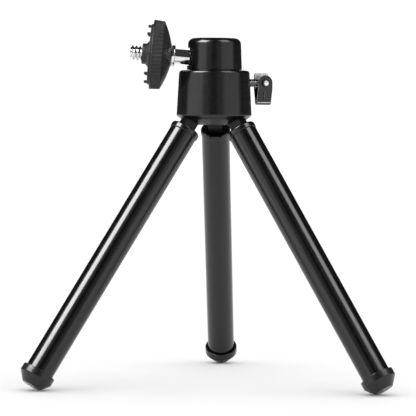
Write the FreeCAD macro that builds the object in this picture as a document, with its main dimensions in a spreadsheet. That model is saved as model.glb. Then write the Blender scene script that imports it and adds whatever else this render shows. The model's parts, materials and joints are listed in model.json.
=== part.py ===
import FreeCAD, Part
import math
import os

import Sketcher

os.makedirs("parts", exist_ok=True)

# A pocket-size tabletop tripod.  Three tube legs hinge in a bowl-shaped hub, and a small ball head
# sits above it.  The tripod's own axis is vertical, and heights are counted from the ground.

# Driving sizes, in millimetres and degrees.
SIZES = {
    # Where the tripod's axis stands, so that the feet are centred on the origin.
    "axis_y": -19.9957,
    # Legs, measured down the leg from its hinge pin.
    "leg_spread": 33.6,
    "first_leg_azimuth": 90.0,
    "leg_spacing": 120.0,
    "pivot_radius": 9.0,
    "pivot_height": 114.991,
    "pin_radius": 1.25,
    "pin_length": 19.8,
    "pin_clearance": 0.05,
    "tongue_thickness": 6.0,
    "tongue_outer": 3.0,
    "tongue_inner": 2.7,
    "tongue_shoulder_drop": 1.3,
    "tongue_crown": 1.5,
    "tongue_outer_round": 2.9,
    "tongue_inner_round": 1.5,
    "collar_top": 7.7,
    "collar_length": 2.6,
    "collar_radius": 6.35,
    "collar_round": 0.8,
    "plug_radius": 4.95,
    "plug_length": 14.0,
    "tube_radius": 6.0,
    "tube_wall": 1.0,
    "foot_start": 128.6,
    "foot_recess_depth": 1.0,
    "foot_recess_radius": 6.5,
    "foot_rim_radius": 7.2,
    "foot_rim_length": 3.0,
    "foot_cone_length": 3.8,
    "foot_tip_radius": 4.0,
    # Bowl-shaped leg hub.
    "hub_bottom": 110.1,
    "hub_flat_radius": 8.5,
    "hub_knee_height": 112.5,
    "hub_knee_radius": 14.0,
    "hub_seam_height": 113.4,
    "hub_seam_radius": 15.1,
    "hub_spigot_radius": 14.4,
    "hub_top": 120.8,
    "slot_width": 6.4,
    "slot_inner": 3.4,
    "slot_headroom": 3.5,
    "slot_stop_gap": 0.15,
    "hub_screw_radius": 1.5,
    "hub_screw_head_radius": 2.5,
    "hub_screw_head_height": 1.9,
    "hub_screw_top": 123.0,
    "hub_counterbore_radius": 2.6,
    "hub_counterbore_top": 112.2,
    "recess_width": 0.7,
    "recess_length": 3.2,
    "recess_depth": 1.2,
    # Housing of the ball head.
    "housing_bottom": 113.4,
    "housing_bottom_radius": 15.4,
    "housing_wide_height": 114.1,
    "housing_wide_radius": 16.0,
    "housing_top": 133.3,
    "housing_top_radius": 15.0,
    "housing_top_round": 1.0,
    "midwall_bottom": 121.0,
    "midwall_top": 123.4,
    "chamber_radius": 10.6,
    "groove_radius": 11.2,
    "groove_bottom": 131.4,
    "groove_top": 132.4,
    # Cap that holds the ball and turns in the housing.
    "head_azimuth": 183.0,
    "cap_bottom": 133.6,
    "cap_bottom_radius": 11.73,
    "cap_top": 147.0,
    "cap_top_radius": 11.2,
    "cap_top_round": 2.0,
    "cap_bore_radius": 8.05,
    "spigot_radius": 10.5,
    "spigot_bottom": 130.9,
    "spigot_groove_radius": 9.7,
    "spigot_groove_bottom": 131.5,
    "spigot_groove_top": 132.3,
    "ring_inner_radius": 9.75,
    "ring_outer_radius": 11.1,
    "ring_bottom": 131.6,
    "ring_top": 132.2,
    "window_bottom": 135.2,
    "window_top": 142.95,
    "window_half_width": 4.5,
    "window_corner": 1.4,
    # Ball, stem and camera screw, measured out along the stem from the ball's centre.
    "ball_height": 137.9,
    "ball_radius": 7.2,
    "ball_clearance": 0.1,
    "stem_tilt": 4.5,
    "stem_radius": 3.175,
    "flange_start": 16.95,
    "flange_end": 18.45,
    "flange_radius": 4.65,
    "stud_tip": 36.0,
    "stud_chamfer": 0.6,
    "stud_clearance": 0.06,
    "stud_relief_start": 30.7,
    "stud_relief_end": 31.2,
    "stud_relief_radius": 2.9,
    # Knurled lock disc with its rubber pad.
    "disc_back": 18.6,
    "disc_back_radius": 4.4,
    "disc_rim_back": 22.3,
    "disc_rim_back_radius": 14.45,
    "disc_front": 26.9,
    "disc_front_radius": 14.8,
    "pad_recess_radius": 13.0,
    "pad_recess_depth": 0.8,
    "pad_bore_radius": 4.7,
    "pad_proud": 1.0,
    "nub_circle_radius": 11.8,
    "nub_radius": 0.65,
    "nub_tip": 29.3,
    "nub_count": 8,
    "disc_hub_radius": 4.4,
    "disc_hub_end": 31.0,
    # Cup that presses on the ball from below.
    "seat_radius": 7.95,
    "seat_top": 132.3,
    "seat_cone_top": 129.7,
    "seat_cone_bottom": 125.7,
    "seat_foot_radius": 3.95,
    "seat_bottom": 123.5,
    # Clamp screw and its folded key, measured out from the tripod's axis.
    "clamp_azimuth": 30.0,
    "clamp_height": 128.2,
    "clamp_tip": 7.0,
    "clamp_tip_radius": 0.4,
    "clamp_tip_length": 1.35,
    "clamp_radius": 1.75,
    "clamp_pivot": 23.7,
    "clamp_end": 25.5,
    "insert_start": 11.0,
    "insert_end": 15.6,
    "insert_radius": 3.0,
    "insert_clearance": 0.05,
    "rivet_radius": 0.95,
    "rivet_head_radius": 1.7,
    "rivet_head_height": 0.45,
    "rivet_head_gap": 0.05,
    "key_width": 6.8,
    "key_gap": 1.85,
    "key_sheet": 0.8,
    "key_front_top": 3.4,
    "key_front_round": 3.3,
    "key_rear_top": 4.4,
    "key_rear_round": 1.0,
    "key_straight": 2.4,
    "key_waist": 7.8,
    "key_waist_gap": 0.7,
    "key_bend_gap": 0.35,
    "key_bend_top": 8.7,
    "key_bottom": 9.7,
}

TINY = 1e-4
TURN = 360.0

document = FreeCAD.newDocument("tabletop_tripod")
sheet = document.addObject("Spreadsheet::Sheet", "Sizes")
pieces = []


def fill_sheet():
    """Write every size into the spreadsheet under its own name."""
    for row, (name, value) in enumerate(SIZES.items(), start=1):
        sheet.set("A%d" % row, name)
        sheet.set("B%d" % row, str(value))
        sheet.setAlias("B%d" % row, name)
    document.recompute()


def sized(text):
    """Turn plain size names in a formula into references to the sheet."""
    words = []
    word = ""
    for letter in text + " ":
        if letter.isalnum() or letter == "_":
            word += letter
            continue
        words.append("Sizes." + word if word in SIZES else word)
        words.append(letter)
        word = ""
    return "".join(words).strip()


def new_body(label):
    """Start a PartDesign body for one piece."""
    body = document.addObject("PartDesign::Body", label)
    body.Label = label
    pieces.append(body)
    return body


def origin_feature(body, role):
    """Find one of a body's own origin planes or axes."""
    for feature in body.Origin.OriginFeatures:
        if feature.Role == role:
            return feature
    raise ValueError("no origin feature " + role)


def new_sketch(body, name, plane):
    """Attach an empty sketch to one of a body's origin planes."""
    sketch = body.newObject("Sketcher::SketchObject", name)
    sketch.AttachmentSupport = [(origin_feature(body, plane), "")]
    sketch.MapMode = "FlatFace"
    return sketch


def pin_point(sketch, line, across, up):
    """Fix the start of a line at two formulas from the sheet."""
    for kind, formula in (("DistanceX", across), ("DistanceY", up)):
        value = sketch.evalExpression(formula)
        number = sketch.addConstraint(Sketcher.Constraint(kind, -1, 1, line, 1, float(value)))
        sketch.setExpression("Constraints[%d]" % number, formula)


def outline(body, name, plane, corners):
    """Draw a closed outline whose corners follow formulas in the sheet."""
    sketch = new_sketch(body, name, plane)
    formulas = [(sized(across), sized(up)) for across, up in corners]
    points = []
    for across, up in formulas:
        place = (float(sketch.evalExpression(across)), float(sketch.evalExpression(up)))
        points.append(FreeCAD.Vector(place[0], place[1], 0))
    count = len(points)
    for index in range(count):
        sketch.addGeometry(Part.LineSegment(points[index], points[(index + 1) % count]), False)
    for index in range(count):
        sketch.addConstraint(Sketcher.Constraint("Coincident", index, 2, (index + 1) % count, 1))
    for index, (across, up) in enumerate(formulas):
        pin_point(sketch, index, across, up)
    return sketch


def round_hole_sketch(body, name, plane, across, up, radius):
    """Draw one circle whose centre and radius follow the sheet."""
    sketch = new_sketch(body, name, plane)
    centre = FreeCAD.Vector(float(sketch.evalExpression(sized(across))),
                            float(sketch.evalExpression(sized(up))), 0)
    size = float(sketch.evalExpression(sized(radius)))
    sketch.addGeometry(Part.Circle(centre, FreeCAD.Vector(0, 0, 1), size), False)
    for kind, formula in (("DistanceX", across), ("DistanceY", up)):
        value = float(sketch.evalExpression(sized(formula)))
        number = sketch.addConstraint(Sketcher.Constraint(kind, -1, 1, 0, 3, value))
        sketch.setExpression("Constraints[%d]" % number, sized(formula))
    number = sketch.addConstraint(Sketcher.Constraint("Radius", 0, size))
    sketch.setExpression("Constraints[%d]" % number, sized(radius))
    return sketch


def revolve(body, name, corners):
    """Turn an outline of radius and height about the body's vertical axis."""
    sketch = outline(body, name + "Outline", "XZ_Plane", corners)
    feature = body.newObject("PartDesign::Revolution", name)
    feature.Profile = sketch
    feature.ReferenceAxis = (sketch, ["V_Axis"])
    feature.Angle = TURN
    document.recompute()
    return feature


def thicken(body, name, sketch, thickness):
    """Pad a sketch evenly to both sides of its plane."""
    feature = body.newObject("PartDesign::Pad", name)
    feature.Profile = sketch
    feature.Midplane = True
    feature.setExpression("Length", sized(thickness))
    document.recompute()
    return feature


def cut_through(body, name, sketch, length, midplane=True, reverse=False):
    """Pocket a sketch, and make sure that it took material away."""
    before = body.Shape.Volume
    feature = body.newObject("PartDesign::Pocket", name)
    feature.Profile = sketch
    feature.Midplane = midplane
    feature.Reversed = reverse
    feature.setExpression("Length", sized(length))
    document.recompute()
    if body.Shape.Volume > before - TINY:
        raise RuntimeError(name + " cuts nothing")
    return feature


def repeat_around(body, name, feature, count):
    """Repeat a feature evenly about the body's vertical axis."""
    pattern = body.newObject("PartDesign::PolarPattern", name)
    pattern.Originals = [feature]
    pattern.Axis = (origin_feature(body, "Z_Axis"), [""])
    pattern.Angle = TURN
    pattern.setExpression("Occurrences", sized(count))
    body.Tip = pattern
    document.recompute()
    return pattern


def round_edges(body, name, chosen, radius):
    """Fillet the edges that a test picks out of the body's tip."""
    tip = body.Tip
    names = []
    for index, edge in enumerate(tip.Shape.Edges, start=1):
        if chosen(edge):
            names.append("Edge%d" % index)
    if not names:
        raise RuntimeError(name + " finds no edge")
    fillet = body.newObject("PartDesign::Fillet", name)
    fillet.Base = (tip, names)
    fillet.setExpression("Radius", sized(radius))
    document.recompute()
    return fillet


def ring_at(radius, height):
    """Make a test for a full circle of this radius at this height."""
    def chosen(edge):
        curve = edge.Curve
        if not isinstance(curve, Part.Circle):
            return False
        return abs(curve.Radius - radius) < TINY and abs(curve.Center.z - height) < TINY
    return chosen


def place(piece, base, rotation):
    """Bind a piece's placement to the sheet."""
    formula = "placement(vector(%s); %s)" % (sized(base), sized(rotation))
    piece.setExpression("Placement", formula)


def on_axis(piece, turn="0"):
    """Stand a piece on the tripod's axis, turned about it."""
    place(piece, "0; axis_y; 0", "rotationz(%s)" % turn)


def on_stem(piece):
    """Lay a piece along the tilted stem, from the ball's centre outwards."""
    place(piece, "0; axis_y; ball_height", "rotationz(head_azimuth) * rotationy(90 - stem_tilt)")


def on_clamp(piece):
    """Lay a piece along the clamp screw, from the tripod's axis outwards."""
    place(piece, "0; axis_y; clamp_height", "rotationz(clamp_azimuth) * rotationy(90)")


def on_key_pivot(piece):
    """Stand a piece at the key's pivot, square to the clamp screw."""
    east = "clamp_pivot * cos(clamp_azimuth * 1 deg)"
    north = "axis_y + clamp_pivot * sin(clamp_azimuth * 1 deg)"
    place(piece, "%s; %s; clamp_height" % (east, north), "rotationz(clamp_azimuth)")


def on_leg(piece, number):
    """Hang a piece from the hinge of one leg, spread to the open stop."""
    azimuth = "(first_leg_azimuth + leg_spacing * %d)" % (number - 1)
    east = "pivot_radius * cos(%s * 1 deg)" % azimuth
    north = "axis_y + pivot_radius * sin(%s * 1 deg)" % azimuth
    turn = "rotationz(%s) * rotationy(-leg_spread)" % azimuth
    place(piece, "%s; %s; pivot_height" % (east, north), turn)


def make_housing():
    """Tapered shell with a chamber for the clamp and a bore for the leg hub."""
    body = new_body("housing")
    revolve(body, "HousingShell", [
        ("chamber_radius", "housing_top"),
        ("chamber_radius", "groove_top"),
        ("groove_radius", "groove_top"),
        ("groove_radius", "groove_bottom"),
        ("chamber_radius", "groove_bottom"),
        ("chamber_radius", "midwall_top"),
        ("hub_screw_radius", "midwall_top"),
        ("hub_screw_radius", "midwall_bottom"),
        ("hub_spigot_radius", "midwall_bottom"),
        ("hub_spigot_radius", "housing_bottom"),
        ("housing_bottom_radius", "housing_bottom"),
        ("housing_wide_radius", "housing_wide_height"),
        ("housing_top_radius", "housing_top"),
    ])
    rim = ring_at(SIZES["housing_top_radius"], SIZES["housing_top"])
    round_edges(body, "ShoulderRound", rim, "housing_top_round")
    hole = round_hole_sketch(body, "InsertHole", "YZ_Plane", "0", "clamp_height", "insert_radius")
    cut_through(body, "InsertPocket", hole, "housing_wide_radius + 1", midplane=False, reverse=True)
    on_axis(body, "clamp_azimuth")


def make_leg_hub():
    """Bowl-shaped block with three slots for the legs and three cross holes for their pins."""
    body = new_body("leg_hub")
    revolve(body, "HubBlock", [
        ("hub_screw_radius", "hub_top"),
        ("hub_screw_radius", "hub_counterbore_top"),
        ("hub_counterbore_radius", "hub_counterbore_top"),
        ("hub_counterbore_radius", "hub_bottom"),
        ("hub_flat_radius", "hub_bottom"),
        ("hub_knee_radius", "hub_knee_height"),
        ("hub_seam_radius", "hub_seam_height"),
        ("hub_spigot_radius", "hub_seam_height"),
        ("hub_spigot_radius", "hub_top"),
    ])
    reach = "(tongue_outer + slot_stop_gap)"
    knee = "pivot_radius + %s * cos(leg_spread * 1 deg)" % reach
    knee_height = "pivot_height + %s * sin(leg_spread * 1 deg)" % reach
    drop = "(%s - hub_bottom + 1)" % knee_height
    slot = outline(body, "SlotOutline", "XZ_Plane", [
        ("slot_inner", "hub_bottom - 1"),
        ("slot_inner", "pivot_height + slot_headroom"),
        (knee, "pivot_height + slot_headroom"),
        (knee, knee_height),
        ("%s + %s * tan(leg_spread * 1 deg)" % (knee, drop), "hub_bottom - 1"),
    ])
    slot_cut = cut_through(body, "Slot", slot, "slot_width")
    repeat_around(body, "Slots", slot_cut, "3")
    pin = round_hole_sketch(body, "PinHole", "XZ_Plane", "pivot_radius", "pivot_height", "pin_radius")
    pin_cut = cut_through(body, "PinBore", pin, "hub_spigot_radius * 2")
    repeat_around(body, "PinBores", pin_cut, "3")
    on_axis(body, "first_leg_azimuth")


def make_hub_screw():
    """Screw that holds the hub up in the housing, with a cross recess in its head."""
    shank = document.addObject("Part::Cylinder", "HubScrewShank")
    shank.setExpression("Radius", sized("hub_screw_radius"))
    shank.setExpression("Height", sized("hub_screw_top - hub_counterbore_top + 0.1"))
    place(shank, "0; 0; hub_counterbore_top - 0.1", "rotationz(0)")
    head = document.addObject("Part::Cylinder", "HubScrewHead")
    head.setExpression("Radius", sized("hub_screw_head_radius"))
    head.setExpression("Height", sized("hub_screw_head_height"))
    place(head, "0; 0; hub_counterbore_top - hub_screw_head_height", "rotationz(0)")
    blank = document.addObject("Part::Fuse", "HubScrewBlank")
    blank.Base = head
    blank.Tool = shank
    height = "hub_counterbore_top - hub_screw_head_height - recess_depth"
    arms = []
    for name, turn, corner in (("RecessArmA", "0", "-recess_length / 2; -recess_width / 2"),
                               ("RecessArmB", "90", "recess_width / 2; -recess_length / 2")):
        arm = document.addObject("Part::Box", name)
        arm.setExpression("Length", sized("recess_length"))
        arm.setExpression("Width", sized("recess_width"))
        arm.setExpression("Height", sized("recess_depth * 2"))
        place(arm, corner + "; " + height, "rotationz(%s)" % turn)
        arms.append(arm)
    cross = document.addObject("Part::Fuse", "RecessCross")
    cross.Base, cross.Tool = arms
    screw = document.addObject("Part::Cut", "hub_screw")
    screw.Label = "hub_screw"
    screw.Base = blank
    screw.Tool = cross
    on_axis(screw)
    pieces.append(screw)


def make_hinge_pins():
    """Three straight pins, one across each leg slot."""
    pins = []
    for number in range(3):
        pin = document.addObject("Part::Cylinder", "HingePin%d" % (number + 1))
        pin.setExpression("Radius", sized("pin_radius"))
        pin.setExpression("Height", sized("pin_length"))
        azimuth = "(leg_spacing * %d)" % number
        along = "pivot_radius * cos(%s * 1 deg) - pin_length / 2 * sin(%s * 1 deg)"
        aside = "pivot_radius * sin(%s * 1 deg) + pin_length / 2 * cos(%s * 1 deg)"
        base = "%s; %s; pivot_height" % (along % (azimuth, azimuth), aside % (azimuth, azimuth))
        place(pin, base, "rotationz(%s) * rotationx(90)" % azimuth)
        pins.append(pin)
    group = document.addObject("Part::Compound", "hinge_pins")
    group.Label = "hinge_pins"
    group.Links = pins
    on_axis(group, "first_leg_azimuth")
    pieces.append(group)


def make_head_cap():
    """Turning cap with a round seat for the ball and a side window for its stem."""
    body = new_body("head_cap")
    revolve(body, "CapBlock", [
        ("0", "cap_top"),
        ("cap_top_radius", "cap_top"),
        ("cap_bottom_radius", "cap_bottom"),
        ("spigot_radius", "cap_bottom"),
        ("spigot_radius", "spigot_groove_top"),
        ("spigot_groove_radius", "spigot_groove_top"),
        ("spigot_groove_radius", "spigot_groove_bottom"),
        ("spigot_radius", "spigot_groove_bottom"),
        ("spigot_radius", "spigot_bottom"),
        ("cap_bore_radius", "spigot_bottom"),
        ("cap_bore_radius", "ball_height"),
        ("0", "ball_height"),
    ])
    rim = ring_at(SIZES["cap_top_radius"], SIZES["cap_top"])
    round_edges(body, "CapRound", rim, "cap_top_round")
    hollow = body.newObject("PartDesign::SubtractiveSphere", "BallHollow")
    hollow.setExpression("Radius", sized("ball_radius + ball_clearance"))
    hollow.setExpression("AttachmentOffset.Base.z", sized("ball_height"))
    hollow.AttachmentSupport = [(origin_feature(body, "XY_Plane"), "")]
    hollow.MapMode = "FlatFace"
    document.recompute()
    window = outline(body, "WindowOutline", "YZ_Plane", [
        ("-window_half_width", "window_bottom + window_corner"),
        ("-window_half_width", "window_top - window_corner"),
        ("-window_half_width + window_corner", "window_top"),
        ("window_half_width - window_corner", "window_top"),
        ("window_half_width", "window_top - window_corner"),
        ("window_half_width", "window_bottom + window_corner"),
        ("window_half_width - window_corner", "window_bottom"),
        ("-window_half_width + window_corner", "window_bottom"),
    ])
    cut_through(body, "Window", window, "cap_bottom_radius + 1", midplane=False, reverse=True)
    on_axis(body, "head_azimuth")


def make_swivel_ring():
    """Snap ring that keeps the cap in the housing."""
    body = new_body("swivel_ring")
    revolve(body, "Ring", [
        ("ring_inner_radius", "ring_bottom"),
        ("ring_outer_radius", "ring_bottom"),
        ("ring_outer_radius", "ring_top"),
        ("ring_inner_radius", "ring_top"),
    ])
    on_axis(body, "head_azimuth")


def make_swivel_ball():
    """Ball with its straight stem."""
    ball = document.addObject("Part::Sphere", "Ball")
    ball.setExpression("Radius", sized("ball_radius"))
    stem = document.addObject("Part::Cylinder", "Stem")
    stem.setExpression("Radius", sized("stem_radius"))
    stem.setExpression("Height", sized("flange_start"))
    piece = document.addObject("Part::Fuse", "swivel_ball")
    piece.Label = "swivel_ball"
    piece.Base = ball
    piece.Tool = stem
    on_stem(piece)
    pieces.append(piece)


def make_camera_stud():
    """Flanged camera screw, drawn at the thread's major diameter."""
    body = new_body("camera_stud")
    revolve(body, "Stud", [
        ("0", "flange_start"),
        ("flange_radius", "flange_start"),
        ("flange_radius", "flange_end"),
        ("stem_radius", "flange_end"),
        ("stem_radius", "stud_relief_start"),
        ("stud_relief_radius", "stud_relief_start"),
        ("stud_relief_radius", "stud_relief_end"),
        ("stem_radius", "stud_relief_end"),
        ("stem_radius", "stud_tip - stud_chamfer"),
        ("stem_radius - stud_chamfer", "stud_tip"),
        ("0", "stud_tip"),
    ])
    on_stem(body)


def make_lock_disc():
    """Disc nut with a conical back that locks a camera against the flange."""
    body = new_body("lock_disc")
    bore = "stem_radius + stud_clearance"
    revolve(body, "Disc", [
        (bore, "disc_back"),
        ("disc_back_radius", "disc_back"),
        ("disc_rim_back_radius", "disc_rim_back"),
        ("disc_front_radius", "disc_front"),
        ("pad_recess_radius", "disc_front"),
        ("pad_recess_radius", "disc_front - pad_recess_depth"),
        (bore, "disc_front - pad_recess_depth"),
    ])
    on_stem(body)


def make_disc_pad():
    """Rubber ring with a circle of nubs that grips the camera."""
    body = new_body("disc_pad")
    revolve(body, "PadRing", [
        ("pad_bore_radius", "disc_front - pad_recess_depth"),
        ("pad_recess_radius", "disc_front - pad_recess_depth"),
        ("pad_recess_radius", "disc_front + pad_proud"),
        ("pad_bore_radius", "disc_front + pad_proud"),
    ])
    circle = round_hole_sketch(body, "NubCircle", "XY_Plane", "nub_circle_radius", "0", "nub_radius")
    circle.setExpression("AttachmentOffset.Base.z", sized("disc_front"))
    nub = body.newObject("PartDesign::Pad", "Nub")
    nub.Profile = circle
    nub.setExpression("Length", sized("nub_tip - disc_front"))
    document.recompute()
    repeat_around(body, "Nubs", nub, "nub_count")
    on_stem(body)


def make_disc_hub():
    """Threaded hub that stands out of the lock disc and seats the camera."""
    body = new_body("disc_hub")
    bore = "stem_radius + stud_clearance"
    revolve(body, "Hub", [
        (bore, "disc_front - pad_recess_depth"),
        ("disc_hub_radius", "disc_front - pad_recess_depth"),
        ("disc_hub_radius", "disc_hub_end"),
        (bore, "disc_hub_end"),
    ])
    on_stem(body)


def make_ball_seat():
    """Pressure cup: a dish for the ball above, and a cone for the clamp screw below."""
    body = new_body("ball_seat")
    revolve(body, "Cup", [
        ("0", "seat_bottom"),
        ("seat_foot_radius", "seat_bottom"),
        ("seat_foot_radius", "seat_cone_bottom"),
        ("seat_radius", "seat_cone_top"),
        ("seat_radius", "seat_top"),
        ("0", "seat_top"),
    ])
    dish = body.newObject("PartDesign::SubtractiveSphere", "Dish")
    dish.setExpression("Radius", sized("ball_radius + ball_clearance"))
    dish.setExpression("AttachmentOffset.Base.z", sized("ball_height"))
    dish.AttachmentSupport = [(origin_feature(body, "XY_Plane"), "")]
    dish.MapMode = "FlatFace"
    document.recompute()
    on_axis(body, "clamp_azimuth")


def make_clamp_insert():
    """Threaded metal bush in the housing's wall, drawn at the screw's size."""
    body = new_body("clamp_insert")
    bore = "clamp_radius + insert_clearance"
    revolve(body, "Bush", [
        (bore, "insert_start"),
        ("insert_radius", "insert_start"),
        ("insert_radius", "insert_end"),
        (bore, "insert_end"),
    ])
    on_clamp(body)


def make_clamp_screw():
    """Clamp screw with a cone point inside and a cross hole for the key's rivet outside."""
    body = new_body("clamp_screw")
    revolve(body, "Screw", [
        ("0", "clamp_tip"),
        ("clamp_tip_radius", "clamp_tip"),
        ("clamp_radius", "clamp_tip + clamp_tip_length"),
        ("clamp_radius", "clamp_end"),
        ("0", "clamp_end"),
    ])
    hole = round_hole_sketch(body, "CrossHole", "XZ_Plane", "0", "clamp_pivot", "rivet_radius")
    cut_through(body, "CrossBore", hole, "clamp_radius * 3")
    on_clamp(body)


def make_key_rivet():
    """Headed rivet that joins the key to the clamp screw."""
    shank = document.addObject("Part::Cylinder", "RivetShank")
    half = "(key_gap + key_sheet + rivet_head_gap + rivet_head_height)"
    shank.setExpression("Radius", sized("rivet_radius"))
    shank.setExpression("Height", sized(half + " * 2"))
    place(shank, "0; %s; 0" % half, "rotationx(90)")
    heads = []
    for name, start in (("RivetHeadA", half), ("RivetHeadB", "rivet_head_height - %s" % half)):
        head = document.addObject("Part::Cylinder", name)
        head.setExpression("Radius", sized("rivet_head_radius"))
        head.setExpression("Height", sized("rivet_head_height"))
        place(head, "0; %s; 0" % start, "rotationx(90)")
        heads.append(head)
    rivet = document.addObject("Part::MultiFuse", "key_rivet")
    rivet.Label = "key_rivet"
    rivet.Shapes = [shank] + heads
    on_key_pivot(rivet)
    pieces.append(rivet)


def make_clamp_key():
    """Key folded from sheet metal, with its two leaves astride the screw."""
    body = new_body("clamp_key")
    outer = "key_gap + key_sheet"
    waist = "key_waist_gap + key_sheet"
    bend = "key_bend_gap + key_sheet"
    fold = outline(body, "FoldOutline", "YZ_Plane", [
        ("-(%s)" % outer, "key_front_top"),
        ("-(%s)" % outer, "-key_straight"),
        ("-(%s)" % waist, "-key_waist"),
        ("-(%s)" % waist, "-key_bend_top"),
        ("-(key_sheet)", "-key_bottom"),
        ("key_sheet", "-key_bottom"),
        (waist, "-key_bend_top"),
        (waist, "-key_waist"),
        (outer, "-key_straight"),
        (outer, "key_rear_top"),
        ("key_gap", "key_rear_top"),
        ("key_gap", "-key_straight"),
        ("key_waist_gap", "-key_waist"),
        ("key_bend_gap", "-key_bend_top"),
        ("-key_bend_gap", "-key_bend_top"),
        ("-key_waist_gap", "-key_waist"),
        ("-key_gap", "-key_straight"),
        ("-key_gap", "key_front_top"),
    ])
    thicken(body, "Fold", fold, "key_width")
    for name, top, radius in (("FrontRound", "key_front_top", "key_front_round"),
                              ("RearRound", "key_rear_top", "key_rear_round")):
        round_edges(body, name, key_corner(SIZES[top]), radius)
    hole = round_hole_sketch(body, "RivetHole", "XZ_Plane", "0", "0", "rivet_radius + pin_clearance")
    cut_through(body, "RivetBore", hole, "key_width * 2")
    on_key_pivot(body)


def key_corner(top):
    """Make a test for the short cross edges at the top of one leaf."""
    half = SIZES["key_width"] / 2

    def chosen(edge):
        middle = edge.CenterOfMass
        short = abs(edge.Length - SIZES["key_sheet"]) < TINY
        return short and abs(middle.z - top) < TINY and abs(abs(middle.x) - half) < TINY
    return chosen


def make_leg_plug(number):
    """End plug of a leg: a hinge tongue, a collar and a spigot inside the tube."""
    body = new_body("leg_plug_%d" % number)
    revolve(body, "Plug%d" % number, [
        ("0", "-collar_top"),
        ("collar_radius", "-collar_top"),
        ("collar_radius", "-collar_top - collar_length"),
        ("plug_radius", "-collar_top - collar_length"),
        ("plug_radius", "-collar_top - collar_length - plug_length"),
        ("0", "-collar_top - collar_length - plug_length"),
    ])
    rim = ring_at(SIZES["collar_radius"], -SIZES["collar_top"])
    round_edges(body, "CollarRound%d" % number, rim, "collar_round")
    tongue = outline(body, "TongueOutline%d" % number, "XZ_Plane", [
        ("tongue_outer", "-collar_top - 1"),
        ("tongue_outer", "tongue_outer"),
        ("-tongue_crown", "tongue_outer"),
        ("-tongue_inner", "-tongue_shoulder_drop"),
        ("-tongue_inner", "-collar_top - 1"),
    ])
    thicken(body, "Tongue%d" % number, tongue, "tongue_thickness")
    for name, across, radius in (("OuterRound", SIZES["tongue_outer"], "tongue_outer_round"),
                                 ("CrownRound", -SIZES["tongue_crown"], "tongue_inner_round")):
        round_edges(body, "%s%d" % (name, number), tongue_corner(across), radius)
    hole = round_hole_sketch(body, "HingeHole%d" % number, "XZ_Plane", "0", "0",
                             "pin_radius + pin_clearance")
    cut_through(body, "HingeBore%d" % number, hole, "tongue_thickness * 2")
    on_leg(body, number)


def tongue_corner(across):
    """Make a test for the tongue's cross edge at this offset along its top."""
    def chosen(edge):
        middle = edge.CenterOfMass
        full = abs(edge.Length - SIZES["tongue_thickness"]) < TINY
        return full and abs(middle.x - across) < TINY and abs(middle.z - SIZES["tongue_outer"]) < TINY
    return chosen


def make_leg_tube(number):
    """Round tube between the collar and the foot."""
    body = new_body("leg_tube_%d" % number)
    revolve(body, "Tube%d" % number, [
        ("tube_radius", "-collar_top - collar_length"),
        ("tube_radius", "-foot_start - foot_recess_depth"),
        ("tube_radius - tube_wall", "-foot_start - foot_recess_depth"),
        ("tube_radius - tube_wall", "-collar_top - collar_length"),
    ])
    on_leg(body, number)


def make_foot(number):
    """Rubber foot: a spigot inside the tube, a recessed rim and a conical tip."""
    body = new_body("foot_%d" % number)
    floor = "-foot_start - foot_recess_depth"
    revolve(body, "Foot%d" % number, [
        ("0", floor + " + plug_length"),
        ("plug_radius", floor + " + plug_length"),
        ("plug_radius", floor),
        ("foot_recess_radius", floor),
        ("foot_recess_radius", "-foot_start"),
        ("foot_rim_radius", "-foot_start"),
        ("foot_rim_radius", "-foot_start - foot_rim_length"),
        ("foot_tip_radius", "-foot_start - foot_rim_length - foot_cone_length"),
        ("0", "-foot_start - foot_rim_length - foot_cone_length"),
    ])
    on_leg(body, number)


def check_document():
    """Stop if any object failed or any piece is empty or invalid."""
    for item in document.Objects:
        if "Invalid" in item.State or "Error" in item.State:
            raise RuntimeError("%s failed: %s" % (item.Name, item.State))
    for piece in pieces:
        if piece.Shape.isNull() or not piece.Shape.isValid():
            raise RuntimeError(piece.Label + " has a bad shape")
        if not piece.Shape.Solids:
            raise RuntimeError(piece.Label + " has no solid")


def write_parts():
    """Write one STEP file for each piece."""
    for piece in pieces:
        piece.Shape.exportStep(os.path.join("parts", piece.Label + ".step"))


def main():
    """Build the tripod, check it and write its pieces."""
    fill_sheet()
    make_housing()
    make_leg_hub()
    make_hub_screw()
    make_hinge_pins()
    make_head_cap()
    make_swivel_ring()
    make_swivel_ball()
    make_camera_stud()
    make_lock_disc()
    make_disc_pad()
    make_disc_hub()
    make_ball_seat()
    make_clamp_insert()
    make_clamp_screw()
    make_key_rivet()
    make_clamp_key()
    for number in (1, 2, 3):
        make_leg_plug(number)
        make_leg_tube(number)
        make_foot(number)
    document.recompute()
    check_document()
    write_parts()


main()
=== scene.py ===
import json
import math

import bmesh
import bpy
from bpy.props import FloatProperty, FloatVectorProperty, IntProperty, PointerProperty
from bpy.types import Operator, Panel, PropertyGroup
from mathutils import Matrix, Vector

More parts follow.
